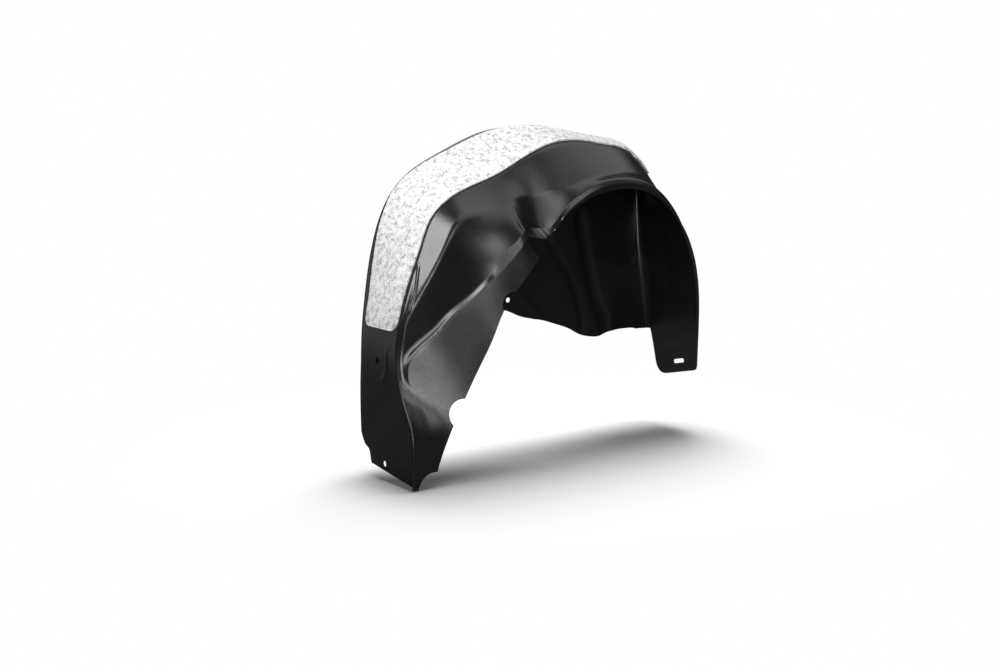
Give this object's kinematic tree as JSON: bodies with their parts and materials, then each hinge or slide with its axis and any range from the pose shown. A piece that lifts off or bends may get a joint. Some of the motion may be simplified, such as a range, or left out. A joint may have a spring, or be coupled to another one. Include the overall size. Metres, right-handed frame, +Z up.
{
  "type": "wheel arch liner",
  "caption": "Thermoformed rear wheel arch liner with an inner wall, a stepped flange round the wheel opening and a felt noise pad glued on its roof.",
  "frame": {"origin": "midpoint between the two screw holes of the front column, on the column's front face", "axes": "+X along the car from the front column to the rear foot, +Y from the wheel opening to the inner wall, +Z up"},
  "size_m": [0.7528, 0.1914, 0.6518],
  "materials": {
    "liner_plastic": "satin, fine grained",
    "felt": "non-woven fibre, white with grey specks"
  },
  "bodies": {
    "root": {"liner_shell": "liner_plastic", "felt_pad": "felt"}
  },
  "joints": []
}
